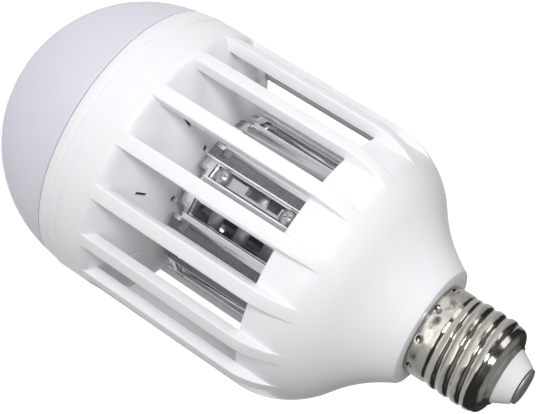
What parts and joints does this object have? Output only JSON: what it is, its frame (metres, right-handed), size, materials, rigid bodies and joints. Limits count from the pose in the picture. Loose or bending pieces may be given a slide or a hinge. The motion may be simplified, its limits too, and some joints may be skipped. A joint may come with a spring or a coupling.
{
  "type": "insect killer light bulb",
  "caption": "White insect killer light bulb: frosted dome, barred cage round a steel electric grid, and an E27 screw cap.",
  "frame": {"origin": "centre of the end contact's flat face, at the top of the cap", "axes": "+Z along the bulb's axis, from the dome towards the cap, so the bulb hangs cap up"},
  "size_m": [0.0808, 0.0808, 0.1643],
  "materials": {
    "white_plastic": "satin white moulding",
    "frosted_diffuser": "frosted translucent",
    "grid_steel": "bright rolled sheet",
    "nickel_plate": "bright nickel plate",
    "contact_metal": "dull",
    "insulator_white": "smooth",
    "board_aluminium": "satin",
    "board_laminate": "solder mask",
    "led_phosphor": "satin",
    "uv_led": "clear violet",
    "coil_black": "tape wrap",
    "capacitor_sleeve": "shrink sleeve",
    "film_capacitor": "dipped",
    "lead_wire": "insulated wire"
  },
  "bodies": {
    "root": {"main_housing": "white_plastic", "diffuser_dome": "frosted_diffuser", "head_base": "white_plastic", "lamp_board": "board_aluminium", "grid_outer": "grid_steel", "grid_inner": "grid_steel", "grid_base": "white_plastic", "light_core": "white_plastic", "screw_shell": "nickel_plate", "cap_insulator": "insulator_white", "end_contact": "contact_metal", "driver_board": "board_laminate", "driver_transformer": "coil_black", "driver_film_capacitor": "film_capacitor", "driver_capacitor": "capacitor_sleeve", "driver_choke": "coil_black", "contact_lead": "lead_wire", "lamp_led_1": "led_phosphor", "lamp_led_2": "led_phosphor", "lamp_led_3": "led_phosphor", "lamp_led_4": "led_phosphor", "lamp_led_5": "led_phosphor", "lamp_led_6": "led_phosphor", "lamp_led_7": "led_phosphor", "lamp_led_8": "led_phosphor", "lamp_led_9": "led_phosphor", "lamp_led_10": "led_phosphor", "lamp_led_11": "led_phosphor", "lamp_led_12": "led_phosphor", "lamp_screw_1": "grid_steel", "uv_board_1": "board_laminate", "uv_led_1_1": "uv_led", "uv_led_1_2": "uv_led", "uv_led_1_3": "uv_led", "lamp_screw_2": "grid_steel", "uv_board_2": "board_laminate", "uv_led_2_1": "uv_led", "uv_led_2_2": "uv_led", "uv_led_2_3": "uv_led", "lamp_screw_3": "grid_steel", "uv_board_3": "board_laminate", "uv_led_3_1": "uv_led", "uv_led_3_2": "uv_led", "uv_led_3_3": "uv_led", "grid_screw_1": "grid_steel", "grid_screw_2": "grid_steel", "grid_screw_3": "grid_steel", "grid_screw_4": "grid_steel"}
  },
  "joints": []
}
